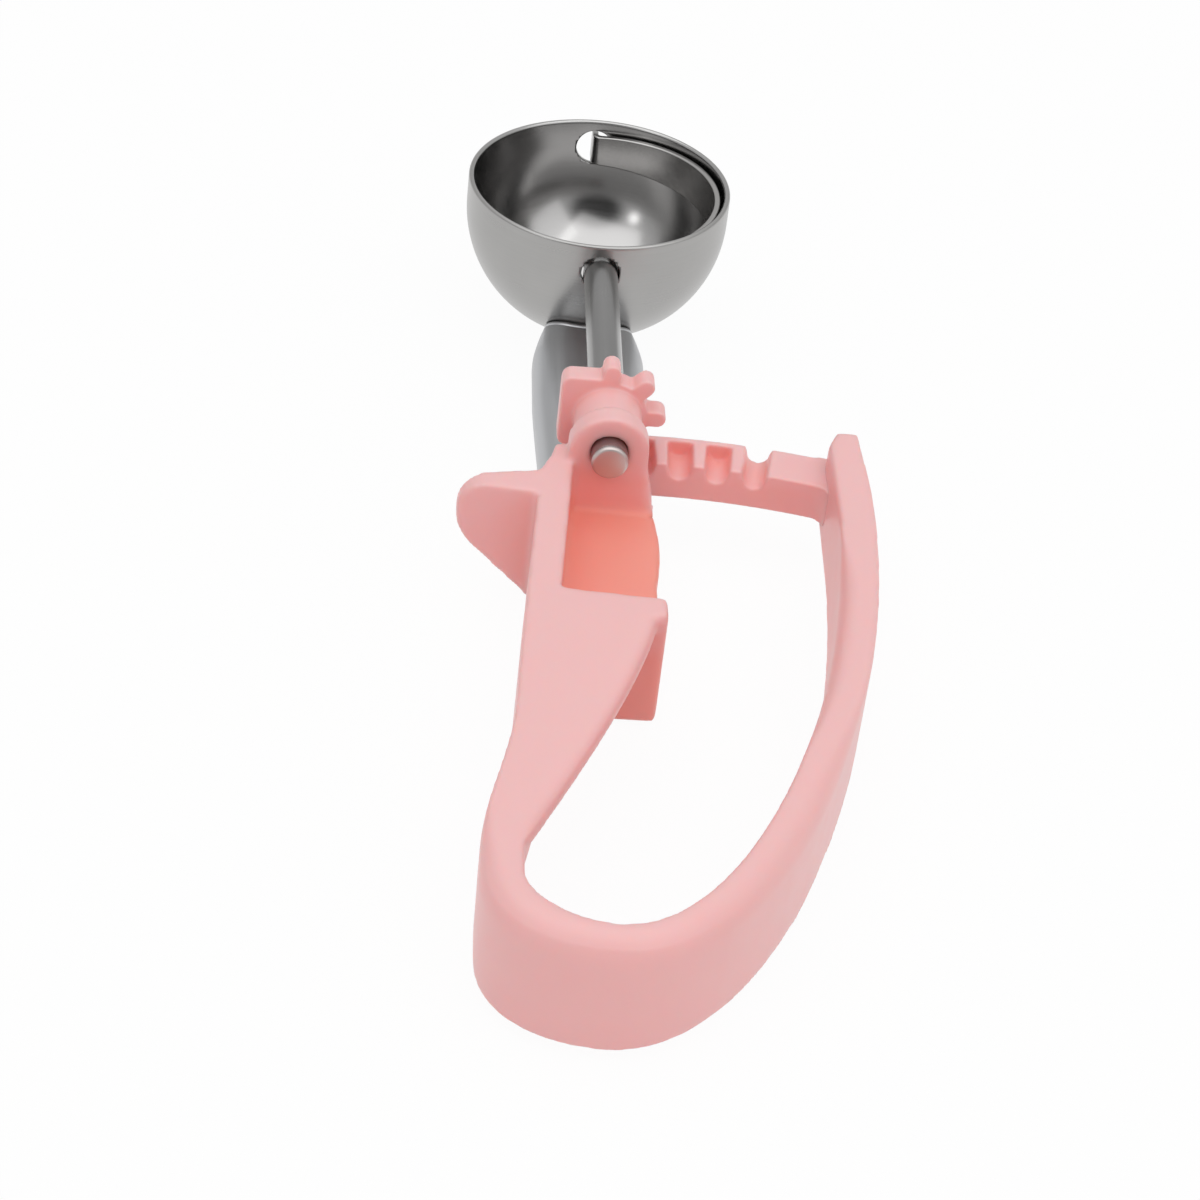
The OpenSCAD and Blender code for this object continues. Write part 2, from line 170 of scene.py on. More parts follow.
plasticLook = {
    "colour": (0.955, 0.500, 0.490, 1),
    "deepColour": (0.945, 0.475, 0.462, 1),
    "deepShare": 0.6,
    "paintedTopLight": (0.970, 0.565, 0.560, 1),  # skyward faces are painted a lighter pink: a painted highlight from the top light
    "paintedTopShare": 0.9,
    "paintedShadeColour": (1.000, 0.310, 0.225, 1),  # painted shade: a deeper, redder pink for hollows and shaded lower faces, standing in for shade and bounced pink light
    "hollowReach": 14 * mm,
    "hollowSky": 0.80,  # a place open to less sky than this is in a hollow
    "hollowGain": 1.2,
    "hollowMost": 0.38,
    "gripShare": 0.46,  # painted shade: the redder tone on the grip's lower, shaded part
    "gripDeepShare": 0.37,  # more painted shade further down, and where that part faces up
    "rackShare": 0.14,  # painted shade: the redder tone on the rack's lower, shaded side
    "cloud": 70.0,
    "drift": 260.0,
    "mould": 2600.0,
    "grainHeight": 0.10,
    "grainDepth": 0.05 * mm,
    "roughness": 0.42,
    "driftRoughness": 0.16,
    "mouldRoughness": 0.08,
    "scatter": 0.4,
    "scatterColours": (1.0, 0.22, 0.14),
    "scatterReach": 2.0 * mm,
    "ior": 1.49,
    "coat": 0.2,
    "coatRoughness": 0.35,
}

plasticEdges = {
    # where the painted shade of the grip and of the rack starts, and where it is full
    "gripRear": (gripShift - 36 * mm, gripShift - 30 * mm),
    "gripFront": (gripShift + 0.5 * mm, gripShift - 0.5 * mm),
    "gripLeft": (-7 * mm, -5.5 * mm),
    "gripRight": (17 * mm, 15 * mm),
    "gripLow": (-2.6 * mm, -4.4 * mm),
    "gripDeep": (-6 * mm, -8.2 * mm),
    "rackRear": (gripShift + 2 * mm, gripShift + 3 * mm),
    "rackLow": (-6.5 * mm, -7.7 * mm),
    "rackLeft": (7 * mm, 8 * mm),
    "rackRight": (28.5 * mm, 24.5 * mm),
}


# Painted shade: a mask over the grip's hollow and lower faces and the rack's lower side, which
# take the redder tone
def paintedShadePlaces(board, place, up):
    look, edges = plasticLook, plasticEdges
    x, y, z = board.split(place)
    grip = y.fade(*edges["gripRear"]) * z.fade(*edges["gripLow"])
    grip = grip * x.fade(*edges["gripLeft"]) * x.fade(*edges["gripRight"])
    grip = grip * y.fade(*edges["gripFront"])
    deep = z.fade(*edges["gripDeep"]).atLeast(up)
    grip = grip * (look["gripShare"] + deep * look["gripDeepShare"])
    rack = y.fade(*edges["rackRear"]) * z.fade(*edges["rackLow"])
    rack = rack * x.fade(*edges["rackRight"]) * x.fade(*edges["rackLeft"])
    return grip + rack * look["rackShare"]


def makePlastic():
    look = plasticLook
    material, board = newMaterial("pinkPlastic")
    place = objectPlace(board)
    cloud = noise(board, place, look["cloud"], 3.0)
    mould = noise(board, place, look["mould"], 2.0, 0.6)
    drift = noise(board, place, look["drift"], 2.0)
    colour = board.blendColours(cloud * look["deepShare"], look["colour"], look["deepColour"])
    up = board.split(board.add("ShaderNodeNewGeometry", None, None, "Normal"))[2]
    # Painted highlight: faces that look up take a lighter pink, where the top light falls on them
    skyward = up.atLeast(0.0) ** 2.0
    colour = board.blendColours(skyward * look["paintedTopShare"], colour, look["paintedTopLight"])
    # Painted shade: places that see little sky within the hollow reach take the redder tone
    sky = board.add("ShaderNodeAmbientOcclusion", {"samples": 8, "only_local": True},
                    {"Distance": look["hollowReach"]}, "AO")
    hollow = ((look["hollowSky"] - sky) * look["hollowGain"]).atLeast(0.0)
    hollow = hollow.atMost(look["hollowMost"])
    # the painted shade takes the stronger of the place mask and the hollow mask
    redder = paintedShadePlaces(board, place, up).atLeast(hollow)
    colour = board.blendColours(redder, colour, look["paintedShadeColour"])
    roughness = (look["roughness"] + (drift - 0.5) * look["driftRoughness"]
                 + (mould - 0.5) * look["mouldRoughness"])
    finishMaterial(board, {
        "Base Color": colour,
        "Roughness": roughness,
        "Normal": relief(board, mould + drift * 2.0, look["grainHeight"], look["grainDepth"]),
        "Subsurface Weight": look["scatter"],
        "Subsurface Radius": look["scatterColours"],
        "Subsurface Scale": look["scatterReach"],
        "IOR": look["ior"],
        "Coat Weight": look["coat"],
        "Coat Roughness": look["coatRoughness"],
    })
    return material


steelGrain = {
    "depth": 0.02 * mm,
    "rings": 3600.0,
    "ringShare": 0.4,  # of the tone, beside the cloud
    "brushed": 2600.0,
    "brushedStretch": 0.12,
    "drawn": 2400.0,
    "drawnStretch": 0.02,
    "lineShare": 0.5,  # of the tone, beside the cloud
    "bowlCloud": 95.0,
    "drawnCloud": 120.0,
    "bowlRoughness": 0.10,  # how far cloud and grain move the roughness
    "drawnRoughness": 0.12,
}


def makeSpunSteel(name, look):
    # Satin outside with fine rings round the bowl's own axis, and a brighter polish inside
    material, board = newMaterial(name)
    place = objectPlace(board)
    x, y, z = board.split(place)
    flatReach = (x * x + y * y) ** 0.5
    reach = (x * x + y * y + z.atMost(0.0) * z.atMost(0.0)) ** 0.5
    inside = reach.fade(look["wallMiddle"], look["wallMiddle"] - look["wallFade"])
    rings = noise(board, board.merge(flatReach, 0.0, z), steelGrain["rings"], 3.0, 0.7)
    cloud = noise(board, place, steelGrain["bowlCloud"], 3.0, 0.55)
    brushed = board.merge(x, y, z * steelGrain["brushedStretch"])
    grain = noise(board, brushed, steelGrain["brushed"], 2.0, 0.6)
    ringShare = steelGrain["ringShare"]
    mixed = rings * ringShare + cloud * (1 - ringShare)
    tone = board.blendColours(mixed, look["dark"], look["light"])
    tone = board.blendColours(inside * look["insideShare"], tone, look["insideTone"])
    height = (rings + grain * look["grainShare"]) * (1.0 - inside * look["polish"])
    roughness = look["roughness"] + (look["insideRoughness"] - look["roughness"]) * inside
    stray = steelGrain["bowlRoughness"]
    finishMaterial(board, {
        "Base Color": tone,
        "Metallic": 1.0,
        "Roughness": roughness + (cloud - 0.5) * stray + (rings - 0.5) * stray,
        "Normal": relief(board, height, look["bump"], steelGrain["depth"]),
    })
    return material


def makeDrawnSteel(name, look):
    # Fine lines along Y, the way the rod, the blade and the shank were drawn
    material, board = newMaterial(name)
    place = objectPlace(board)
    x, y, z = board.split(place)
    drawn = board.merge(x, y * steelGrain["drawnStretch"], z)
    lines = noise(board, drawn, steelGrain["drawn"], 3.0, 0.65)
    cloud = noise(board, place, steelGrain["drawnCloud"], 3.0, 0.5)
    lineShare = steelGrain["lineShare"]
    mixed = lines * lineShare + cloud * (1 - lineShare)
    tone = board.blendColours(mixed, look["dark"], look["light"])
    roughness = look["roughness"]
    if "cutEnd" in look:
        cut = y.fade(look["cutEnd"], look["cutEnd"] - look["cutFade"])
        # the sawn end's tone carries a painted reflection of the pink grip
        tone = board.blendColours(cut, tone, look["cutReflectionTone"])
        roughness = cut * look["cutRoughness"] + roughness
    stray = steelGrain["drawnRoughness"]
    finishMaterial(board, {
        "Base Color": tone,
        "Metallic": 1.0,
        "Roughness": roughness + (cloud - 0.5) * stray + (lines - 0.5) * stray,
        "Normal": relief(board, lines, look["bump"], steelGrain["depth"]),
    })
    return material


steelLooks = {
    "bowl": {
        "dark": (0.34, 0.335, 0.33, 1),
        "light": (0.46, 0.455, 0.445, 1),
        "roughness": 0.30,
        "bump": 0.12,
        "grainShare": 0.6,
        "insideTone": (0.48, 0.475, 0.475, 1),
        "insideShare": 0.5,
        "insideRoughness": 0.19,
        "polish": 0.6,  # how much of the relief the polish takes off inside
        "wallMiddle": 18.6 * mm,
        "wallFade": 0.125 * mm,
    },
    "blade": {
        "dark": (0.38, 0.375, 0.37, 1),
        "light": (0.50, 0.49, 0.48, 1),
        "roughness": 0.24,
        "bump": 0.12,
    },
    "shank": {
        "dark": (0.46, 0.465, 0.475, 1),
        "light": (0.57, 0.575, 0.59, 1),
        "roughness": 0.40,
        "bump": 0.05,
    },
    "rod": {
        "dark": (0.27, 0.27, 0.27, 1),
        "light": (0.37, 0.365, 0.36, 1),
        "roughness": 0.24,
        "bump": 0.15,
        "cutEnd": -65.8 * mm,  # the rod's sawn end is rougher and its metal brighter; its pink tint is a painted reflection of the grip
        "cutFade": 0.25 * mm,
        "cutReflectionTone": (0.60, 0.54, 0.52, 1),
        "cutRoughness": 0.18,
    },
}

pinkPlastic = makePlastic()
bowlSteel = makeSpunSteel("bowlSteel", steelLooks["bowl"])
bladeSteel = makeDrawnSteel("bladeSteel", steelLooks["blade"])
shankSteel = makeDrawnSteel("shankSteel", steelLooks["shank"])
rodSteel = makeDrawnSteel("rodSteel", steelLooks["rod"])
print("materials made")


# Small mesh tools

fineMerge = 0.0005 * mm
merge = 0.001 * mm


def newPiece(name, mesh):
    piece = bpy.data.objects.new(name, mesh)
    bpy.context.scene.collection.objects.link(piece)
    return piece


def setLook(piece, material):
    piece.data.materials.clear()
    piece.data.materials.append(material)


def bake(piece):
    # The evaluated shape becomes the plain mesh, and the modifiers go
    bpy.context.view_layer.update()
    graph = bpy.context.evaluated_depsgraph_get()
    result = bpy.data.meshes.new_from_object(piece.evaluated_get(graph))
    result.name = piece.name
    piece.modifiers.clear()
    if piece.type == "MESH":
        piece.data = result
        return piece
    name = piece.name
    bpy.data.objects.remove(piece)
    return newPiece(name, result)


def addModifier(piece, kind, **values):
    modifier = piece.modifiers.new(kind.title(), kind)
    for key, value in values.items():
        setattr(modifier, key, value)


def outward(piece):
    shape = bmesh.new()
    shape.from_mesh(piece.data)
    bmesh.ops.remove_doubles(shape, verts=shape.verts, dist=fineMerge)
    bmesh.ops.recalc_face_normals(shape, faces=shape.faces)
    if shape.calc_volume(signed=True) < 0:
        bmesh.ops.reverse_faces(shape, faces=shape.faces)
    shape.to_mesh(piece.data)
    shape.free()


def smoothFaces(piece):
    piece.data.polygons.foreach_set("use_smooth", [True] * len(piece.data.polygons))


def fromNodes(name, *nodes):
    # A copy of CAD nodes as one merged mesh
    shape = bmesh.new()
    for node in nodes:
        part = bmesh.new()
        part.from_mesh(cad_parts[node].data)
        bmesh.ops.remove_doubles(part, verts=part.verts, dist=merge)
        flat = bpy.data.meshes.new("part")
        part.to_mesh(flat)
        part.free()
        shape.from_mesh(flat)
        bpy.data.meshes.remove(flat)
    mesh = bpy.data.meshes.new(name)
    shape.to_mesh(mesh)
    shape.free()
    return newPiece(name, mesh)


def roundWhere(piece, steps, rule):
    # Rounds edges in so many steps; the rule gives each place its share
    group = piece.vertex_groups.new(name="rounding")
    shares = {}
    for vertex in piece.data.vertices:
        share = round(min(max(rule(vertex.co), 0.0), 1.0), 2)
        shares.setdefault(share, []).append(vertex.index)
    for share, indices in shares.items():
        if share > 0:
            group.add(indices, share, "REPLACE")
    addModifier(piece, "SMOOTH", factor=0.5, iterations=steps, vertex_group=group.name)
    piece = bake(piece)
    piece.vertex_groups.clear()
    return piece


def soften(piece, voxel, passes):
    # One moulding from the CAD solids, drawn back onto their faces, with its edges rounded
    solid = newPiece("solid", piece.data.copy())
    addModifier(piece, "REMESH", mode="VOXEL", voxel_size=voxel)
    addModifier(piece, "SHRINKWRAP", target=solid, wrap_method="NEAREST_SURFACEPOINT")
    piece = bake(piece)
    bpy.data.objects.remove(solid)
    for steps, rule in passes:
        piece = roundWhere(piece, steps, rule)
    smoothFaces(piece)
    return piece


def moveVertices(piece, rule):
    for vertex in piece.data.vertices:
        vertex.co = rule(vertex.co.copy())


def smooth(share):
    return share * share * (3 - 2 * share)


def ramp(value, start, end):
    # From 0 at start to 1 at end, level at both
    return smooth(min(max((value - start) / (end - start), 0.0), 1.0))


def newTree(name, inputs):
    tree = bpy.data.node_groups.new(name, "GeometryNodeTree")
    tree.interface.new_socket("Geometry", in_out="OUTPUT", socket_type="NodeSocketGeometry")
    tree.interface.new_socket("Geometry", in_out="INPUT", socket_type="NodeSocketGeometry")
    for label, kind in inputs:
        tree.interface.new_socket(label, in_out="INPUT", socket_type="NodeSocket" + kind)
    return tree


def applyTree(piece, tree, values):
    modifier = piece.modifiers.new("Nodes", "NODES")
    modifier.node_group = tree
    sockets = {item.name: item.identifier for item in tree.interface.items_tree
               if item.item_type == "SOCKET" and item.in_out == "INPUT"}
    for label, value in values.items():
        modifier[sockets[label]] = value
    return bake(piece)


# Bowl: a spun shell with a rolled rim edge

bowlValues = {
    "Radius": 19 * mm,
    "Sheet": 0.8 * mm,
    "Lip": 4.3 * mm,
    "Crowding": 1.7,  # above 1, the rows of faces lie closer together near the rim
    "Around": 240,
    "Along": 181,
}
boreValues = {
    "radius": 2.72 * mm,
    "halfLength": 30 * mm,
    "sides": 96,
}


def makeBowlTree():
    tree = newTree("spunShell", [("Radius", "Float"), ("Sheet", "Float"), ("Lip", "Float"),
                                 ("Crowding", "Float"), ("Around", "Int"), ("Along", "Int"),
                                 ("Material", "Material")])
    board = Board(tree)
    given = board.add("NodeGroupInput")
    grid = board.add("GeometryNodeMeshGrid", None, {
        "Size X": 1.0, "Size Y": 1.0,
        "Vertices X": given.out("Along"), "Vertices Y": given.out("Around")})
    x, y, z = board.split(board.add("GeometryNodeInputPosition"))
    half = given.out("Sheet") * 0.5
    middle = given.out("Radius") - half
    quarter = middle * (math.pi / 2)
    sheetLength = quarter + given.out("Lip")
    straight = sheetLength - half
    whole = straight + half * (math.pi / 2)
    side = x * 2.0
    along = (1.0 - abs(side) ** given.out("Crowding")) * whole
    turn = ((along - straight) / half).atLeast(0.0).atMost(math.pi / 2)
    distance = along.atMost(straight) + half * turn.sine()
    face = (side + 0.000001).sign()  # the middle row counts as the outer face
    offset = face * half * turn.cosine()
    slope = (distance / middle).atMost(math.pi / 2)
    ring = (middle + offset) * slope.sine()
    height = (distance - quarter).atLeast(0.0) - (middle + offset) * slope.cosine()
    turnAngle = (y + 0.5) * (2 * math.pi)
    place = board.merge(ring * turnAngle.cosine(), ring * turnAngle.sine(), height)
    moved = board.add("GeometryNodeSetPosition", None, {"Geometry": grid, "Position": place})
    closed = board.add("GeometryNodeMergeByDistance", None,
                       {"Geometry": moved, "Distance": merge})
    real = board.add("GeometryNodeRealizeInstances", None, {"Geometry": closed})
    named = board.add("GeometryNodeSetMaterial", None,
                      {"Geometry": real, "Material": given.out("Material")})
    board.add("NodeGroupOutput", None, {"Geometry": named})
    return tree


def boreBar():
    # A round bar along Y that cuts the bowl's two holes
    values = boreValues
    shape = bmesh.new()
    turn = Matrix.Rotation(math.pi / 2, 4, "X")
    bmesh.ops.create_cone(shape, cap_ends=True, segments=values["sides"],
                          radius1=values["radius"], radius2=values["radius"],
                          depth=2 * values["halfLength"], matrix=turn)
    mesh = bpy.data.meshes.new("bore")
    shape.to_mesh(mesh)
    shape.free()
    return newPiece("bore", mesh)


def cut(piece, tool):
    addModifier(piece, "BOOLEAN", operation="DIFFERENCE", solver="EXACT", object=tool)
    piece = bake(piece)
    bpy.data.objects.remove(tool)
    return piece


bowl = newPiece("scoopBowl", bpy.data.meshes.new("scoopBowl"))
bowl = applyTree(bowl, makeBowlTree(), dict(bowlValues, Material=bowlSteel))
outward(bowl)
bowl = cut(bowl, boreBar())
outward(bowl)
smoothFaces(bowl)
setLook(bowl, bowlSteel)
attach(bowl, "handle")
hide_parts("bowl")
print("bowl made:", len(bowl.data.polygons))


# Sweep blade: a strip swept along its half circle, its tongue turned out at the far hole

bladeValues = {
    "Thickness": 0.9 * mm,
    "End Width": 4.6 * mm,
    "Middle Width": 6.4 * mm,
    "Reach": 17.7 * mm,
    "Edge Round": 0.22 * mm,
    "Edge Steps": 5,
}
tongueValues = {
    "bend": 0.95 * mm,  # to the middle of the strip
    "end": 20.0 * mm,
    "sweepSteps": 120,
    "bendSteps": 12,
    "straightSteps": 6,
}


def makeStripTree():
    tree = newTree("sweptStrip", [("Thickness", "Float"), ("End Width", "Float"),
                                  ("Middle Width", "Float"), ("Reach", "Float"),
                                  ("Edge Round", "Float"), ("Edge Steps", "Int"),
                                  ("Material", "Material")])
    board = Board(tree)
    given = board.add("NodeGroupInput")
    upright = board.add("GeometryNodeSetCurveNormal", {"mode": "Z_UP"},
                        {"Curve": given.out("Geometry")})
    flat = board.add("GeometryNodeCurvePrimitiveQuadrilateral", None, {
        "Width": given.out("Thickness"), "Height": given.out("End Width")})
    section = board.add("GeometryNodeFilletCurve", {"mode": "POLY"}, {
        "Curve": flat, "Radius": given.out("Edge Round"), "Count": given.out("Edge Steps"),
        "Limit Radius": True})
    swept = board.add("GeometryNodeCurveToMesh", None, {
        "Curve": upright, "Profile Curve": section, "Fill Caps": True})
    x, y, z = board.split(board.add("GeometryNodeInputPosition"))
    grow = (given.out("Middle Width") / given.out("End Width") - 1.0)
    share = (x / given.out("Reach")).atLeast(0.0).atMost(1.0)
    place = board.merge(x, y, z * (1.0 + grow * share))
    moved = board.add("GeometryNodeSetPosition", None, {"Geometry": swept, "Position": place})
    real = board.add("GeometryNodeRealizeInstances", None, {"Geometry": moved})
    named = board.add("GeometryNodeSetMaterial", None,
                      {"Geometry": real, "Material": given.out("Material")})
    board.add("NodeGroupOutput", None, {"Geometry": named})
    return tree


def bladeLine():
    # The half circle, the bend outwards and the straight tongue
    middle = bladeValues["Reach"] - bladeValues["Thickness"] / 2
    bend, sweepSteps = tongueValues["bend"], tongueValues["sweepSteps"]
    bendSteps, straightSteps = tongueValues["bendSteps"], tongueValues["straightSteps"]
    first = -math.pi / 2 - math.asin(bladeValues["End Width"] / 2 / middle)
    last = math.pi / 2 - math.asin(bend / middle)
    points = []
    for step in range(sweepSteps + 1):
        angle = first + (last - first) * step / sweepSteps
        points.append((middle * math.cos(angle), middle * math.sin(angle), 0))
    for step in range(1, bendSteps + 1):
        angle = math.pi / 2 * (step / bendSteps)
        points.append((bend - bend * math.sin(angle), middle + bend - bend * math.cos(angle), 0))
    rise = tongueValues["end"] - middle - bend
    for step in range(1, straightSteps + 1):
        points.append((0, middle + bend + rise * step / straightSteps, 0))
    return points


def lineCurve(name, points):
    data = bpy.data.curves.new(name, "CURVE")
    data.dimensions = "3D"
    spline = data.splines.new("POLY")
    spline.points.add(len(points) - 1)
    for point, place in zip(spline.points, points):
        point.co = (*place, 1)
    return newPiece(name, data)


blade = lineCurve("sweepBlade", bladeLine())
blade = applyTree(blade, makeStripTree(), dict(bladeValues, Material=bladeSteel))
outward(blade)
smoothFaces(blade)
setLook(blade, bladeSteel)
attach(blade, "rotor")
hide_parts("sweep_blade")
print("blade made:", len(blade.data.polygons), [round(v / mm, 2) for v in blade.dimensions])


# Drive rod: turned from a profile

rodValues = {
    "radius": 2.38 * mm,
    "tip": -66.4 * mm,
    "chamfer": 0.35 * mm,
    "chamferCurve": ((0.6, 0.22), (0.25, 0.55), (0, 1.1)),  # inward and along, in chamfers
    "shoulder": -17.72 * mm,
    "spigot": 1.4 * mm,
    "corner": 0.1 * mm,
    "head": -16.61 * mm,
    "headThick": 0.7 * mm,
    "headSide": 0.4,  # how far up its thickness the head's side runs
    "headCurve": ((0.8, 0.75), (0.5, 0.95), (0, 1)),  # shares of the radius and the thickness
    "lengthSteps": 24,
    "sides": 96,
}


def turnedPiece(name, profile, sides):
    # profile is (radius, y) from the axis to the axis
    shape = bmesh.new()
    vertices = [shape.verts.new((radius, y, 0)) for radius, y in profile]
    for first, second in zip(vertices, vertices[1:]):
        shape.edges.new((first, second))
    mesh = bpy.data.meshes.new(name)
    shape.to_mesh(mesh)
    shape.free()
    piece = newPiece(name, mesh)
    addModifier(piece, "SCREW", axis="Y", angle=2 * math.pi, steps=sides,
                render_steps=sides, use_merge_vertices=True, merge_threshold=merge)
    piece = bake(piece)
    outward(piece)
    smoothFaces(piece)
    return piece


def rodProfile():
    values = rodValues
    radius, tip, chamfer = values["radius"], values["tip"], values["chamfer"]
    shoulder, spigot, corner = values["shoulder"], values["spigot"], values["corner"]
    head, thick, steps = values["head"], values["headThick"], values["lengthSteps"]
    points = [(0, tip), (radius - chamfer - corner, tip)]
    points += [(radius - chamfer * inward, tip + chamfer * along)
               for inward, along in values["chamferCurve"]]
    start = points[-1][1]
    points += [(radius, start + (shoulder - 2 * corner - start) * i / steps)
               for i in range(1, steps + 1)]
    points += [(radius - 2 * corner, shoulder), (spigot, shoulder), (spigot, head)]
    points += [(radius - corner, head), (radius, head + corner),
               (radius - corner / 2, head + thick * values["headSide"])]
    points += [(radius * wide, head + thick * high) for wide, high in values["headCurve"]]
    return points


rod = turnedPiece("driveRod", rodProfile(), rodValues["sides"])
setLook(rod, rodSteel)
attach(rod, "rotor")
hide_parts("drive_rod")
print("rod made")


# Shank: a formed channel lofted back from the bowl's curve

shankValues = {
    "rearWidth": 13.1 * mm,
    "wideWidth": 15.9 * mm,
    "frontWidth": 9.0 * mm,
    "rearEnd": 3.2 * mm + gripShift,  # behind this the width and the top stay as they are
    "wideStart": -30 * mm,
    "wideEnd": -20 * mm,
    "taper": 13 * mm,
    "taperPower": 1.35,
    "widenEase": 0.4,  # 0 widens in a straight line, 1 in a smooth one
    "rearTop": -11.4 * mm,
    "rise": 1.35 * mm,
    "riseLine": ((-30 * mm, 0.42), (-19 * mm, 0.6), (-13 * mm, 1.0)),
    "height": 5.6 * mm,
    "sheet": 1.0 * mm,
    "shoulder": 4.2 * mm,
    "shoulderMost": 0.76,  # of half the width
    "side": -0.45 * mm,
    "start": -13.8 * mm + gripShift,
    "bowlGap": 0.16 * mm,
    "bead": 0.08 * mm,
    "beadLength": 0.50 * mm,
    "beadFront": 0.12,  # how far round its arch the bead starts
    "groove": 0.24 * mm,
    "grooveWidth": 0.26 * mm,
    "edgeRound": 0.22 * mm,
    "edgeSteps": 3,
    "edgeAngle": math.radians(50),
    "sideSteps": 6,
    "shoulderSteps": 12,
    "topSteps": 12,
    "stations": 110,
    "crowding": 2.2,  # above 1, the stations lie closer together near the bowl
    "meetRear": -40 * mm,  # the loft's lines meet the bowl between these two
    "meetFront": -6 * mm,
    "halvings": 40,
}


def alongLine(value, points):
    # Straight lines between (place, value) points
    if value <= points[0][0]:
        return points[0][1]
    for (x0, v0), (x1, v1) in zip(points, points[1:]):
        if value <= x1:
            return v0 + (v1 - v0) * ((value - x0) / (x1 - x0))
    return points[-1][1]


def shankHalfWidth(y):
    s = shankValues
    if y <= s["rearEnd"]:
        return s["rearWidth"] / 2
    if y <= s["wideStart"]:
        share = (y - s["rearEnd"]) / (s["wideStart"] - s["rearEnd"])
        share = smooth(share) * s["widenEase"] + share * (1 - s["widenEase"])
        return (s["rearWidth"] + (s["wideWidth"] - s["rearWidth"]) * share) / 2
    if y <= s["wideEnd"]:
        return s["wideWidth"] / 2
    share = min((y - s["wideEnd"]) / s["taper"], 1) ** s["taperPower"]
    return (s["wideWidth"] - (s["wideWidth"] - s["frontWidth"]) * share) / 2


def shankTop(y):
    s = shankValues
    return s["rearTop"] + s["rise"] * alongLine(y, ((s["rearEnd"], 0), *s["riseLine"]))


def shankSection(y, grow=0.0):
    # Points of the channel's outer side from left foot to right foot
    s = shankValues
    half, top = shankHalfWidth(y) + grow, shankTop(y) + grow
    r = min(s["shoulder"], shankHalfWidth(y) * s["shoulderMost"]) + grow
    foot = shankTop(y) - s["height"]
    points = []
    for i in range(s["sideSteps"] + 1):
        points.append((-half, foot + (top - r - foot) * i / s["sideSteps"]))
    for i in range(1, s["shoulderSteps"] + 1):
        angle = math.pi - math.pi / 2 * i / s["shoulderSteps"]
        points.append((-half + r + r * math.cos(angle), top - r + r * math.sin(angle)))
    right = [(-x, z) for x, z in reversed(points)]
    for i in range(1, s["topSteps"]):
        points.append((-half + r + 2 * (half - r) * i / s["topSteps"], top))
    return [(s["side"] + x, z) for x, z in points + right]


def shankLine(index, grow):
    # How far forward one line of the loft runs before it meets the bowl
    reach = bowlValues["Radius"] + shankValues["bowlGap"]
    low, high = shankValues["meetRear"], shankValues["meetFront"]
    for halving in range(shankValues["halvings"]):
        y = (low + high) / 2
        x, z = shankSection(y, grow)[index]
        if math.sqrt(x * x + y * y + z * z) > reach:
            low = y
        else:
            high = y
    return low


def shankBead(behind, grow):
    # A small rolled edge along the weld, with a narrow groove behind it
    s = shankValues
    length, width, front = s["beadLength"], s["grooveWidth"], s["beadFront"]
    if grow < 0 or behind > length + width:
        return 0.0
    if behind <= length:
        return s["bead"] * math.sin(math.pi * (front + (1 - front) * behind / length))
    return -s["groove"] * math.sin(math.pi * (behind - length) / width)


def makeShank():
    start, stations = shankValues["start"], shankValues["stations"]
    count = len(shankSection(0))
    shape = bmesh.new()
    grids = []
    for grow in (0.0, -shankValues["sheet"]):
        ends = [shankLine(i, grow) for i in range(count)]
        rows = []
        for k in range(stations + 1):
            row = []
            for i in range(count):
                share = 1 - (1 - k / stations) ** shankValues["crowding"]
                y = start + (ends[i] - start) * share
                x, z = shankSection(y, grow + shankBead(ends[i] - y, grow))[i]
                row.append(shape.verts.new((x, y, z)))
            rows.append(row)
        grids.append(rows)
    outer, inner = grids
    for rows in grids:
        for a, b in zip(rows, rows[1:]):
            for i in range(count - 1):
                shape.faces.new((a[i], a[i + 1], b[i + 1], b[i]))
    for i in range(count - 1):
        shape.faces.new((outer[0][i], outer[0][i + 1], inner[0][i + 1], inner[0][i]))
        shape.faces.new((outer[-1][i], outer[-1][i + 1], inner[-1][i + 1], inner[-1][i]))
    for i in (0, count - 1):
        for k in range(stations):
            shape.faces.new((outer[k][i], outer[k + 1][i], inner[k + 1][i], inner[k][i]))
    mesh = bpy.data.meshes.new("formedShank")
    shape.to_mesh(mesh)
    shape.free()
    piece = newPiece("formedShank", mesh)
    outward(piece)
    addModifier(piece, "BEVEL", width=shankValues["edgeRound"],
                segments=shankValues["edgeSteps"], limit_method="ANGLE",
                angle_limit=shankValues["edgeAngle"])
    piece = bake(piece)
    smoothFaces(piece)
    return piece


shank = makeShank()
setLook(shank, shankSteel)
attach(shank, "handle")
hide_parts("shank")
print("shank made:", len(shank.data.polygons))


# Plastic: the grip's one moulding, the rack and the pinion

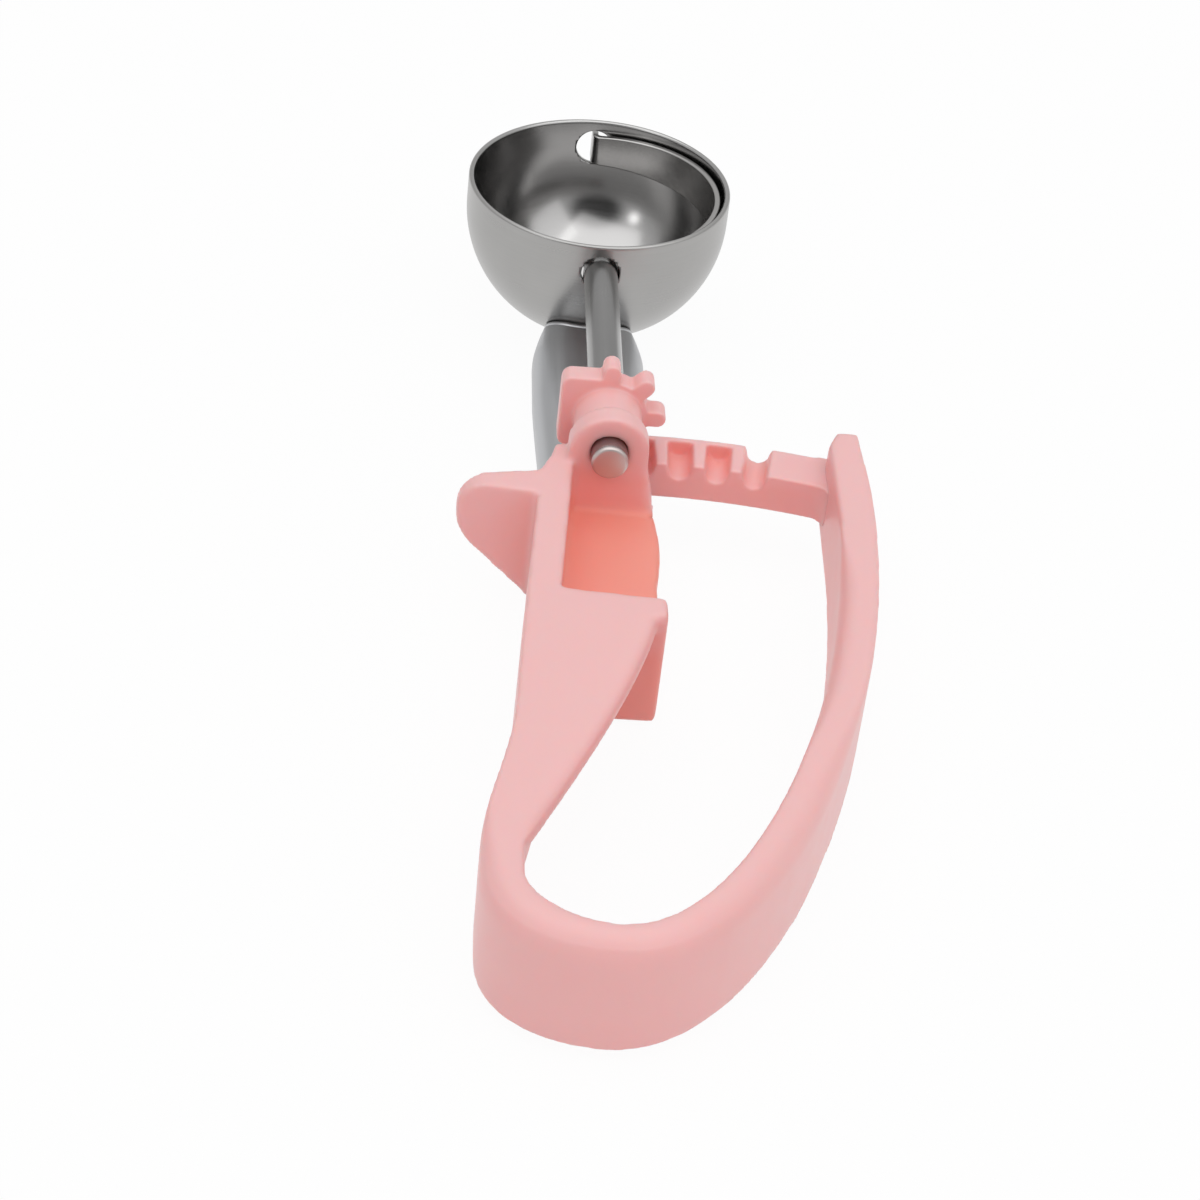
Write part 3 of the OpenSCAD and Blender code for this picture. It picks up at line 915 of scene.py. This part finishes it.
gripValues = {
    "voxel": 0.42 * mm,
    "steps": 11,
    "footSteps": 26,  # more rounding along the bend's lower edges
    "rootSteps": 40,  # the inner corner between ear and hollow
    "loopSteps": 5,
    "earCrisp": 0.85,  # how much of the rounding the ear and the thumb rest are spared
    "thumbCrisp": 0.45,
    "top": -1.5 * mm,
    "outerRound": 3.4 * mm,  # the bend's outer upper edge
    "innerRound": 2.5 * mm,  # the lever's inner upper edge
    "armRound": 1.5 * mm,  # the left arm's inner upper edge
    "loopMiddle": (12 * mm, gripShift - 45 * mm),
    "tuckTop": 0.35 * mm,
    "tuckFoot": 0.20 * mm,
    "thumbCentre": (-15.4 * mm, -5.4 * mm),
    "thumbArc": 3.9 * mm,
    "thumbSlack": 0.8,  # how soon the corner gets its full push
    "thumbFull": 1.2 * mm,
    "thumbEnd": -19.28 * mm,
    "thumbCore": 1 * mm,  # the middle of the rest stays where it is
    "thumbRight": -10 * mm,
    "thumbRear": -14 * mm,
    "shoulderReach": 1.0 * mm,
    "noseTuck": 1.0 * mm,
    "noseRight": 27 * mm,  # only what lies beyond this is tucked
    "earFlare": 1.15 * mm,
    "footEase": 0.30 * mm,
    "footPlace": -41.5 * mm,
    "footReach": 12 * mm,
    "bendStart": (13.2 * mm, gripShift, 0),
    "bendEnd": (26.66 * mm, gripShift - 2.69 * mm, 0),
}

wallValues = {
    # which points of the moulding belong to an upright wall of the loop
    "upright": 0.25,
    "lean": 0.3,
    "halves": 5 * mm,  # left of this the outer wall is the grip's, right of it the lever's
    "armRight": 13 * mm,
    "armRear": -78 * mm,
    "armFront": -29 * mm,
    "armFoot": -3.8 * mm,
}

gripSpans = {
    # from where to where each change grows: y counts from the ear's rear face, depth is -z,
    # and thumb, rest and shoulder count x to the left
    "earFront": (1.6 * mm, 2.8 * mm),
    "earHeight": (-8 * mm, -6.5 * mm),
    "earWidth": (5.6 * mm, 6.2 * mm),
    "thumbLeft": (9.5 * mm, 12 * mm),
    "thumbRear": (-12 * mm, -9 * mm),
    "footHeight": (-12.5 * mm, -9.5 * mm),
    "footFront": (-62 * mm, -45 * mm),
    "outerLeft": (-82 * mm, -62 * mm),
    "outerRight": (-66 * mm, -34 * mm),
    "innerRight": (17 * mm, 22 * mm),
    "innerRear": (-62 * mm, -40 * mm),
    "innerFront": (-24 * mm, -9 * mm),
    "armRear": (-76 * mm, -70 * mm),
    "armFront": (-33 * mm, -29 * mm),
    "armRight": (11 * mm, 13 * mm),
    "tuckFront": (-58 * mm, -34 * mm),
    "tuckDepth": (2 * mm, 18 * mm),
    "restLeft": (10 * mm, 14.5 * mm),
    "restReach": (1 * mm, 3.5 * mm),
    "shoulderFront": (1.4 * mm, 3.0 * mm),
    "shoulderRight": (4.7 * mm, 5.6 * mm),
    "shoulderLeft": (9 * mm, 11.5 * mm),
    "shoulderHeight": (-9 * mm, -6 * mm),
    "flareDepth": (1.5 * mm, 8.2 * mm),
    "flareLeft": (1 * mm, 4.8 * mm),
    "flareRear": (-0.9 * mm, -0.4 * mm),
    "easeDepth": (9 * mm, 17 * mm),
    "easeRight": (12 * mm, 18 * mm),
    "rootRear": (-4 * mm, -2 * mm),
    "rootFront": (0.8 * mm, 1.6 * mm),
    "rootFoot": (-13 * mm, -11.5 * mm),
    "rootTop": (-5.5 * mm, -4 * mm),
    "rootWidth": (6 * mm, 7 * mm),
    "loopFront": (-34 * mm, -24 * mm),
    "noseRear": (6 * mm, 9 * mm),
    "noseLeft": (25 * mm, 28 * mm),
    "noseInner": (30 * mm, 33.6 * mm),
    "noseTip": (7.6 * mm, 11.2 * mm),
}

flareBox = {
    # the part of the ear that widens; y is measured from the ear's rear face
    "rear": -0.9 * mm,
    "front": 2.4 * mm,
    "right": 6.8 * mm,
    "rightFade": 1.6 * mm,
    "foot": -9.2 * mm,
}


def rising(value, name):
    return ramp(value, *gripSpans[name])


def falling(value, name):
    return 1 - ramp(value, *gripSpans[name])


def gripSoftness(place):
    y = place.y - gripShift
    ear = rising(y, "earFront") * rising(place.z, "earHeight") * falling(abs(place.x), "earWidth")
    thumb = rising(-place.x, "thumbLeft") * rising(y, "thumbRear")
    return 1 - gripValues["earCrisp"] * ear - gripValues["thumbCrisp"] * thumb


def footSoftness(place):
    return falling(place.z, "footHeight") * falling(place.y - gripShift, "footFront")


def loopWalls(piece):
    # Search trees of the loop's outer walls, its inner walls and the left arm's inner wall
    w = wallValues
    middle = Vector(gripValues["loopMiddle"])
    sides = ([], [], [])
    for vertex in piece.data.vertices:
        if abs(vertex.normal.z) < w["upright"]:
            facing = vertex.normal.xy.normalized()
            lean = facing.dot((vertex.co.xy - middle).normalized())
            if abs(lean) > w["lean"]:
                sides[0 if lean > 0 else 1].append((vertex.co.xy, facing))
            onArm = w["armRear"] < vertex.co.y - gripShift < w["armFront"]
            onArm = onArm and vertex.co.x < w["armRight"] and vertex.co.z > w["armFoot"]
            if lean < 0 and onArm:
                sides[2].append((vertex.co.xy, facing))
    walls = []
    for places in sides:
        tree = kdtree.KDTree(len(places))
        for index, (place, facing) in enumerate(places):
            tree.insert((place.x, place.y, 0), index)
        tree.balance()
        walls.append((tree, [facing for place, facing in places]))
    return walls


def roundUpperEdge(piece, wall, radiusAt):
    # Brings the corner of the top face and a wall onto a quarter round
    tree, facings = wall
    for vertex in piece.data.vertices:
        place = vertex.co
        radius = radiusAt(place.x, place.y - gripShift)
        drop = max(gripValues["top"] - place.z, 0.0)
        if drop >= radius:
            continue
        nearest, index, gap = tree.find((place.x, place.y, 0))
        facing = facings[index]
        inset = max((nearest.xy - place.xy).dot(facing), 0.0)
        reach = math.hypot(inset - radius, drop - radius)
        if inset >= radius or reach <= radius:
            continue
        share = 1 - radius / reach
        place.z += (drop - radius) * share
        place.xy += facing * (inset - radius) * share


def outerRadius(x, y):
    side = "outerLeft" if x < wallValues["halves"] else "outerRight"
    return gripValues["outerRound"] * falling(y, side)


def innerRadius(x, y):
    share = rising(x, "innerRight") * rising(y, "innerRear")
    return gripValues["innerRound"] * share * falling(y, "innerFront")


def armRadius(x, y):
    share = rising(y, "armRear") * falling(y, "armFront")
    return gripValues["armRound"] * share * falling(x, "armRight")


def tuckBend(piece):
    # The outer side of the bend leans in towards its foot, as a moulding leaves its mould
    middle = gripValues["loopMiddle"]
    moved = []
    for vertex in piece.data.vertices:
        place = vertex.co
        flat = Vector((vertex.normal.x, vertex.normal.y, 0))
        away = Vector((place.x - middle[0], place.y - middle[1], 0)).normalized()
        outer = max(flat.dot(away), 0.0) * falling(place.y - gripShift, "tuckFront")
        tuck = gripValues["tuckTop"] + gripValues["tuckFoot"] * rising(-place.z, "tuckDepth")
        moved.append(place - flat * outer * tuck)
    for vertex, place in zip(piece.data.vertices, moved):
        vertex.co = place


def fullThumb(place):
    # The thumb rest's lower corner is fuller than its arc
    cx, cz = gripValues["thumbCentre"]
    x, z = place.x - cx, place.z - cz
    reach, core = math.hypot(x, z), gripValues["thumbCore"]
    if place.x > gripValues["thumbRight"] or reach < core:
        return place
    if place.y < gripShift + gripValues["thumbRear"]:
        return place
    full, arc = gripValues["thumbFull"], gripValues["thumbArc"]
    slack = gripValues["thumbSlack"] * arc * (reach / max(-x, 0.05 * reach) - 1)
    push = full * (1 - math.exp(-slack / full)) if z < 0 else 0
    push *= rising(-place.x, "restLeft") * rising(reach, "restReach")
    place.x = max(place.x + x / reach * push, gripValues["thumbEnd"])
    place.z += z / reach * push
    return place


def fullShoulder(place):
    # The shoulder beside the ear reaches a little further towards the bowl
    share = rising(place.y - gripShift, "shoulderFront") * rising(-place.x, "shoulderRight")
    share *= falling(-place.x, "shoulderLeft") * rising(place.z, "shoulderHeight")
    place.y += gripValues["shoulderReach"] * share
    return place


def flareEar(place):
    # The ear's right side widens towards the hollow's floor
    y, box = place.y - gripShift, flareBox
    if not box["rear"] < y < box["front"] or not 0 < place.x < box["right"]:
        return place
    if place.z < box["foot"]:
        return place
    share = rising(-place.z, "flareDepth") * rising(place.x, "flareLeft")
    share *= min(1, (box["right"] - place.x) / box["rightFade"]) * rising(y, "flareRear")
    place.x += gripValues["earFlare"] * share
    return place


def easeFoot(place):
    # The lever's foot turns gently at its lowest point
    away = abs(place.y - gripShift - gripValues["footPlace"])
    near = max(1 - away / gripValues["footReach"], 0)
    low = rising(-place.z, "easeDepth") * rising(place.x, "easeRight")
    place.z += gripValues["footEase"] * near * near * low
    return place


def earRoot(place):
    # The round inner corner between the ear and the hollow's floor
    y = place.y - gripShift
    along = rising(y, "rootRear") * falling(y, "rootFront")
    upright = rising(place.z, "rootFoot") * falling(place.z, "rootTop")
    return along * upright * falling(abs(place.x), "rootWidth")


def loopSoftness(place):
    y = place.y - gripShift
    return max(falling(y, "loopFront"), rising(y, "noseRear") * rising(place.x, "noseLeft"))


def leverNose(place):
    # The lever's front end is a little narrower on its inner side
    y = place.y - gripShift
    if place.x > gripValues["noseRight"] and y > 0:
        place.x += gripValues["noseTuck"] * falling(place.x, "noseInner") * rising(y, "noseTip")
    return place


grip = fromNodes("gripMoulding", "grip_frame", "spring_bend", "squeeze_lever")
grip = soften(grip, gripValues["voxel"], [(gripValues["steps"], gripSoftness),
                                          (gripValues["footSteps"], footSoftness)])
for wall, radiusAt in zip(loopWalls(grip), (outerRadius, innerRadius, armRadius)):
    roundUpperEdge(grip, wall, radiusAt)
grip = roundWhere(grip, gripValues["rootSteps"], earRoot)
tuckBend(grip)
grip = roundWhere(grip, gripValues["loopSteps"], loopSoftness)
for rule in (fullThumb, flareEar, easeFoot, fullShoulder, leverNose):
    moveVertices(grip, rule)
setLook(grip, pinkPlastic)
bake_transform(grip)
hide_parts("grip_frame", "spring_bend", "squeeze_lever")
print("grip made:", len(grip.data.polygons))

rackValues = {
    "voxel": 0.22 * mm,
    "steps": 9,
    "leverFace": 29.5 * mm,
    "rootDepth": 1.4 * mm,  # how far the bar runs on inside the lever
    "rootCrisp": 0.6 * mm,
    "crispFade": 0.7 * mm,
}
faceSlack = 0.02 * mm  # a point this near to a face counts as on it


def rackRoot(place):
    if place.x > rackValues["leverFace"] - faceSlack:
        place.x += rackValues["rootDepth"]
    return place


def rackSoftness(place):
    crisp = rackValues["leverFace"] - rackValues["rootCrisp"]
    return 1 - ramp(place.x, crisp - rackValues["crispFade"], crisp)


rack = fromNodes("rackBar", "rack")
moveVertices(rack, rackRoot)
rack = soften(rack, rackValues["voxel"], [(rackValues["steps"], rackSoftness)])
setLook(rack, pinkPlastic)
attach(rack, "lever")
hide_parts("rack")
print("rack made:", len(rack.data.polygons))

pinionValues = {
    "voxel": 0.18 * mm,
    "steps": 16,
    "hubEnd": 3.35 * mm + gripShift,
    "hubReach": 0.13 * mm,  # the hub's rear end comes up to the ear
    "crispEnd": 0.1 * mm,  # the hub's end keeps its edge over this length
    "softStart": 0.9 * mm,
}


def pinionHub(place):
    if place.y < pinionValues["hubEnd"] + faceSlack:
        place.y -= pinionValues["hubReach"]
    return place


def pinionSoftness(place):
    hubEnd = pinionValues["hubEnd"]
    return ramp(place.y, hubEnd + pinionValues["crispEnd"], hubEnd + pinionValues["softStart"])


pinion = fromNodes("pinionGear", "pinion")
moveVertices(pinion, pinionHub)
pinion = soften(pinion, pinionValues["voxel"], [(pinionValues["steps"], pinionSoftness)])
setLook(pinion, pinkPlastic)
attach(pinion, "rotor")
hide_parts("pinion")
print("pinion made:", len(pinion.data.polygons))


# Floor, light and camera

white = (1, 1, 1, 1)

stageValues = {
    "floorHeight": -19.05 * mm,
    "floorSize": 4.0,
    "floorColour": (0.93, 0.93, 0.93, 1),
    "floorWhite": 0.95,  # how much of it the camera and the steel see as plain white
}


def makeFloor():
    size, z = stageValues["floorSize"], stageValues["floorHeight"]
    mesh = bpy.data.meshes.new("paleFloor")
    mesh.from_pydata([(-size, -size, z), (size, -size, z), (size, size, z), (-size, size, z)],
                     [], [(0, 1, 2, 3)])
    material, board = newMaterial("paleFloor")
    path = board.add("ShaderNodeLightPath")
    seen = (path + path.out("Is Glossy Ray") + path.out("Is Transmission Ray")).atMost(1.0)
    matt = board.add("ShaderNodeBsdfDiffuse", None, {"Color": stageValues["floorColour"]})
    bright = board.add("ShaderNodeEmission", None, {"Color": white, "Strength": 1.0})
    mixed = board.add("ShaderNodeMixShader", None,
                      {0: seen * stageValues["floorWhite"], 1: matt, 2: bright})
    board.add("ShaderNodeOutputMaterial", None, {"Surface": mixed})
    mesh.materials.append(material)
    floor = newPiece("paleFloor", mesh)


skyValues = {
    "level": 0.53,
    "zenith": 0.82,
    "low": 0.62,
    "highStart": 0.45,  # above this height the sky turns to its zenith tone
    "highGain": 3.2,
    "darkPlace": (-0.07, -0.85, 0.52),  # a dark card behind the camera, which the bowl mirrors
    "darkWiden": 0.42,
    "darkStart": 0.21,
    "darkFade": 0.30 / 2.2,
    "darkTone": 0.05,
    "bulbPlace": (-0.63, -0.60, 0.49),  # a small bright lamp, seen in polished steel alone
    "bulbSpread": 0.12,
    "bulbTone": 3.6,
}


def mirroredSky(board, direction):
    # What the steel mirrors: a pale sky with a dark card and a small bright lamp
    s = skyValues
    x, y, z = board.split(direction)
    high = ((z - s["highStart"]) * s["highGain"]).share()
    tone = s["low"] + high * (s["zenith"] - s["low"])
    cx, cy, cz = s["darkPlace"]
    across, ahead, above = x - cx, y - cy, z - cz
    card = (across * across * s["darkWiden"] + above * above + ahead * ahead) ** 0.5
    clear = card.fade(s["darkStart"], s["darkStart"] + s["darkFade"])
    tone = s["darkTone"] + (tone - s["darkTone"]) * clear
    bulb = board.add("ShaderNodeVectorMath", {"operation": "DISTANCE"},
                     {0: direction, 1: s["bulbPlace"]}, "Value")
    glow = (1.0 - bulb / s["bulbSpread"]).atLeast(0.0)
    return tone + glow * s["bulbTone"]


def makeSky():
    world = bpy.data.worlds.new("studio")
    bpy.context.scene.world = world
    world.use_nodes = True
    board = Board(world.node_tree)
    path = board.add("ShaderNodeLightPath")
    direction = board.add("ShaderNodeTexCoord", None, None, "Generated")
    mirrored = (path.out("Is Glossy Ray") + path.out("Is Transmission Ray")).atMost(1.0)
    level = skyValues["level"]
    strength = level + mirrored * (mirroredSky(board, direction) - level) + path * (1.0 - level)
    sky = board.add("ShaderNodeBackground", None, {"Color": white, "Strength": strength})
    board.add("ShaderNodeOutputWorld", None, {"Surface": sky})


lampAim = (0.005, -0.06, -0.01)  # every lamp faces the grip's front
lampValues = [
    # name, place, size, power
    ("keySoftbox", (-0.08, -0.24, 1.00), 1.50, 5.7),
    ("fillSoftbox", (0.70, -0.50, 0.70), 0.80, 1.0),
]


def makeLamps():
    for name, place, size, power in lampValues:
        lamp = bpy.data.lights.new(name, "AREA")
        lamp.shape = "SQUARE"
        lamp.size = size
        lamp.energy = power
        holder = bpy.data.objects.new(name, lamp)
        bpy.context.scene.collection.objects.link(holder)
        holder.location = place
        aim = Vector(lampAim) - Vector(place)
        holder.rotation_euler = aim.to_track_quat("-Z", "Y").to_euler()


cameraValues = {
    "place": (-30.015 * mm, -383.555 * mm, 214.957 * mm),
    "yaw": 0.0969,
    "pitch": 0.6388,
    "roll": 0.1199,
    "lens": 90.0,
    "sensor": 36.0,
}


def makeCamera():
    c = cameraValues
    forward = Vector((math.sin(c["yaw"]) * math.cos(c["pitch"]),
                      math.cos(c["yaw"]) * math.cos(c["pitch"]), -math.sin(c["pitch"])))
    level = Vector((math.cos(c["yaw"]), -math.sin(c["yaw"]), 0))
    up = level.cross(forward)
    right = level * math.cos(c["roll"]) + up * math.sin(c["roll"])
    top = up * math.cos(c["roll"]) - level * math.sin(c["roll"])
    data = bpy.data.cameras.new("camera")
    data.lens = c["lens"]
    data.sensor_width = c["sensor"]
    camera = bpy.data.objects.new("camera", data)
    bpy.context.scene.collection.objects.link(camera)
    turn = Matrix((right, top, -forward)).transposed().to_4x4()
    camera.matrix_world = Matrix.Translation(c["place"]) @ turn
    bpy.context.scene.camera = camera


makeFloor()
makeSky()
makeLamps()
makeCamera()
bpy.context.scene.view_settings.view_transform = "Standard"
print("stage, light and camera set")
